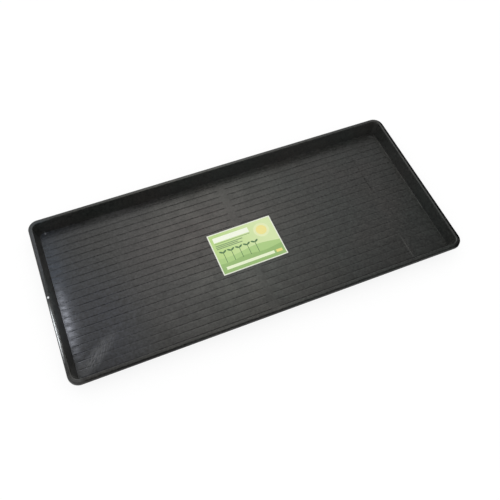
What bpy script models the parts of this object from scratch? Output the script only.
"""Large shallow garden tray for seedlings and pots, with the printed label that is stuck inside it.

The tray is one formed sheet: grooved floor, coved foot, sloping walls, rolled rim and turned-down lip.
Lengths are in metres. +X runs along the tray, +Y to its back and +Z up, from the middle of the underside.
"""
import bmesh
import bpy
from math import cos, pi, radians, sin, tan
from mathutils import Vector

# Overall sizes, over the outside of the rim
TRAY_LENGTH = 1.200
TRAY_WIDTH = 0.545
TRAY_HEIGHT = 0.050
SHEET = 0.0016

# Rim: a level crest with a round on either side, and a lip that turns down along its outer edge
RIM_WIDTH = 0.013
RIM_OUTER_ROUND = 0.0045
RIM_INNER_ROUND = 0.0020
LIP_DEPTH = 0.012
LIP_FLARE = radians(4.0)

# Wall: how far it leans in between the rim and its foot, and the cove that turns it into the floor
WALL_LEAN = 0.010
COVE_RADIUS = 0.003

# Corners, seen from above
RIM_CORNER_RADIUS = 0.032
FLOOR_CORNER_RADIUS = 0.012

# Stiffening grooves along the floor, in panels parted by smooth cross bands. The sheet is pressed down at
# each groove, so the underside has a ridge there, and the tray stands on these ridges. The middle row lies a
# little in front of the tray's middle.
GROOVE_PITCH = 0.0236
MIDDLE_ROW_Y = -0.0038
GROOVE_DEPTH = 0.0012
GROOVE_BED = 0.0010
GROOVE_FLANK_ANGLE = radians(45.0)
GROOVE_SIDE_MARGIN = 0.003
GROOVE_END_MARGIN = 0.004
BAND_WIDTH = 0.024
# The two outer bands' distance from the middle, as a share of half the tray's length
BAND_SHARE = 0.62

# Label: an A5 sheet that is stuck on the floor, slightly askew
LABEL_LENGTH = 0.210
LABEL_WIDTH = 0.148
LABEL_THICKNESS = 0.0003
LABEL_X = 0.001
LABEL_Y = -0.013
LABEL_TURN = radians(1.0)
SEAT_GAP = 0.0003

# Stand-in colours; both surfaces are dull
BLACK_PLASTIC = (0.030, 0.030, 0.029)
PLASTIC_ROUGHNESS = 0.42
GREEN_PRINT = (0.45, 0.62, 0.24)
PRINT_ROUGHNESS = 0.45

# Fineness of the rounds, and the bend above which an edge is drawn sharp
CORNER_STEPS = 12
ROUND_STEPS = 6
SHARP_BEND = radians(30.0)

# How close two points must lie to count as one, and two heights to count as level
SAME_POINT = 0.000001
LEVEL = 0.00002

# The upper face of the floor, above the feet of the ridges
FLOOR_TOP = GROOVE_DEPTH + SHEET


def clear_scene():
    for item in list(bpy.data.objects):
        bpy.data.objects.remove(item, do_unlink=True)


def new_collection(name):
    collection = bpy.data.collections.new(name)
    bpy.context.scene.collection.children.link(collection)
    return collection


def new_material(name, colour, roughness):
    material = bpy.data.materials.new(name)
    material.use_nodes = True
    shader = material.node_tree.nodes["Principled BSDF"]
    shader.inputs["Base Color"].default_value = (*colour, 1.0)
    shader.inputs["Roughness"].default_value = roughness
    return material


def add_object(name, bm, material, collection):
    mesh = bpy.data.meshes.new(name)
    bm.to_mesh(mesh)
    bm.free()
    mesh.materials.append(material)
    item = bpy.data.objects.new(name, mesh)
    collection.objects.link(item)
    return item


def add_solidify(item, thickness, offset):
    """Turns an open surface into a sheet of even thickness, with plain cut edges."""
    shell = item.modifiers.new("sheet thickness", "SOLIDIFY")
    shell.solidify_mode = "NON_MANIFOLD"
    shell.nonmanifold_thickness_mode = "CONSTRAINTS"
    shell.nonmanifold_boundary_mode = "FLAT"
    shell.nonmanifold_merge_threshold = SAME_POINT
    shell.thickness = thickness
    shell.offset = offset


def rounded_path(corners):
    """Points of a path whose inner corners (point, radius) are rounded by arcs tangent to both legs."""
    path = [Vector(corners[0][0])]
    for before, here, after in zip(corners, corners[1:], corners[2:]):
        corner = Vector(here[0])
        leg_in = (Vector(before[0]) - corner).normalized()
        leg_out = (Vector(after[0]) - corner).normalized()
        half = leg_in.angle(leg_out) / 2
        reach = here[1] / tan(half)
        centre = corner + (leg_in + leg_out).normalized() * (here[1] / sin(half))
        start = corner + leg_in * reach - centre
        turn = start.angle_signed(corner + leg_out * reach - centre)
        for step in range(ROUND_STEPS + 1):
            angle = -turn * step / ROUND_STEPS
            swung = Vector((start.x * cos(angle) - start.y * sin(angle),
                            start.x * sin(angle) + start.y * cos(angle)))
            path.append(centre + swung)
    path.append(Vector(corners[-1][0]))
    return path


def tray_profile():
    """Upper face of the sheet, from the lip to the flat floor, as (inset from the rim's edge, height)."""
    lip_run = LIP_DEPTH * tan(LIP_FLARE)
    foot_inset = RIM_WIDTH + WALL_LEAN
    wall = Vector((WALL_LEAN, FLOOR_TOP - TRAY_HEIGHT))
    cove_turn = wall.angle(Vector((1.0, 0.0)))
    floor_inset = foot_inset + COVE_RADIUS * tan(cove_turn / 2)
    corners = [
        ((0.0, TRAY_HEIGHT - LIP_DEPTH), 0.0),
        ((lip_run, TRAY_HEIGHT), RIM_OUTER_ROUND),
        ((RIM_WIDTH, TRAY_HEIGHT), RIM_INNER_ROUND),
        ((foot_inset, FLOOR_TOP), COVE_RADIUS),
        ((floor_inset, FLOOR_TOP), 0.0),
    ]
    return rounded_path(corners)[:-1]


def plan_ring(bm, inset, height, floor_inset):
    """One loop of the tray in plan; its corner radius runs evenly from the rim's to the floor's."""
    share = inset / floor_inset
    radius = RIM_CORNER_RADIUS + (FLOOR_CORNER_RADIUS - RIM_CORNER_RADIUS) * share
    reach_x = TRAY_LENGTH / 2 - inset - radius
    reach_y = TRAY_WIDTH / 2 - inset - radius
    ring = []
    for quarter, (side_x, side_y) in enumerate(((1, 1), (-1, 1), (-1, -1), (1, -1))):
        for step in range(CORNER_STEPS + 1):
            angle = (quarter + step / CORNER_STEPS) * pi / 2
            x = side_x * reach_x + radius * cos(angle)
            y = side_y * reach_y + radius * sin(angle)
            ring.append(bm.verts.new((x, y, height)))
    return ring


def join_rings(bm, outer, inner):
    """A band of faces between two rings, each face spanning the same step of both and facing up."""
    for i in range(len(outer)):
        bm.faces.new((outer[i - 1], outer[i], inner[i], inner[i - 1]))


def groove_rows(half_width, opening):
    """Y of each groove: the middle row and as many on either side of it as the flat floor takes."""
    room = half_width - abs(MIDDLE_ROW_Y) - GROOVE_SIDE_MARGIN - opening / 2
    count = int(room / GROOVE_PITCH)
    return [MIDDLE_ROW_Y + GROOVE_PITCH * row for row in range(-count, count + 1)]


def groove_panels(half_length):
    """X spans of the grooves, between the smooth bands that cross the floor."""
    end = half_length - GROOVE_END_MARGIN
    outer_band = BAND_SHARE * TRAY_LENGTH / 2
    stops = [-end]
    for band in (-outer_band, 0.0, outer_band):
        stops += [band - BAND_WIDTH / 2, band + BAND_WIDTH / 2]
    stops.append(end)
    return list(zip(stops[0::2], stops[1::2]))


def flat_floor(bm):
    """The faces of the flat floor, which all lie at its upper height."""
    return [face for face in bm.faces if all(vert.co.z < FLOOR_TOP + LEVEL for vert in face.verts)]


def score_floor(bm, axis, places):
    """Scores the flat floor with straight lines, so that each groove's outline is a face of its own."""
    for place in places:
        floor = flat_floor(bm)
        edges = {edge for face in floor for edge in face.edges}
        verts = {vert for face in floor for vert in face.verts}
        bmesh.ops.bisect_plane(
            bm, geom=[*floor, *edges, *verts], dist=SAME_POINT, plane_co=axis * place, plane_no=axis)


def press_grooves(bm, half_length, half_width):
    """Presses each groove's outline down into the sheet, with flanks that slope to a narrower bed."""
    flank_run = GROOVE_DEPTH / tan(GROOVE_FLANK_ANGLE)
    opening = GROOVE_BED + 2 * flank_run
    rows = groove_rows(half_width, opening)
    panels = groove_panels(half_length)
    score_floor(bm, Vector((0, 1, 0)), [row + side * opening / 2 for row in rows for side in (-1, 1)])
    score_floor(bm, Vector((1, 0, 0)), [stop for panel in panels for stop in panel])
    grooves = []
    for face in flat_floor(bm):
        middle = face.calc_center_median()
        in_panel = any(start < middle.x < end for start, end in panels)
        in_row = any(abs(middle.y - row) < opening / 2 for row in rows)
        if in_panel and in_row:
            grooves.append(face)
    bmesh.ops.inset_individual(
        bm, faces=grooves, thickness=flank_run, depth=-GROOVE_DEPTH, use_even_offset=True)
    print("grooves:", len(rows), "rows in", len(panels), "panels,", len(grooves), "pressed faces")


def make_tray(collection):
    """Lofts the sheet's upper face through its rings, grooves the floor and gives the sheet its thickness."""
    bm = bmesh.new()
    profile = tray_profile()
    floor_inset = profile[-1].x
    rings = [plan_ring(bm, point.x, point.y, floor_inset) for point in profile]
    for outer, inner in zip(rings, rings[1:]):
        join_rings(bm, outer, inner)
    # The floor faces up too, and the thickness goes on beneath
    bm.faces.new(rings[-1])
    bm.normal_update()
    press_grooves(bm, TRAY_LENGTH / 2 - floor_inset, TRAY_WIDTH / 2 - floor_inset)
    plastic = new_material("black plastic", BLACK_PLASTIC, PLASTIC_ROUGHNESS)
    tray = add_object("tray_body", bm, plastic, collection)
    add_solidify(tray, SHEET, -1.0)
    tray.data.shade_smooth()
    tray.data.set_sharp_from_angle(angle=SHARP_BEND)


def make_label(collection):
    """A flat sheet, held clear of the floor by the seating gap: a unit square, stretched to the label's size."""
    bm = bmesh.new()
    bmesh.ops.create_grid(bm, x_segments=1, y_segments=1, size=0.5)
    bmesh.ops.scale(bm, vec=(LABEL_LENGTH, LABEL_WIDTH, 1.0), verts=bm.verts)
    paper = new_material("printed label", GREEN_PRINT, PRINT_ROUGHNESS)
    label = add_object("label", bm, paper, collection)
    label.location = (LABEL_X, LABEL_Y, FLOOR_TOP + SEAT_GAP)
    label.rotation_euler.z = LABEL_TURN
    add_solidify(label, LABEL_THICKNESS, 1.0)


clear_scene()
seed_tray = new_collection("seed_tray")
make_tray(seed_tray)
make_label(seed_tray)
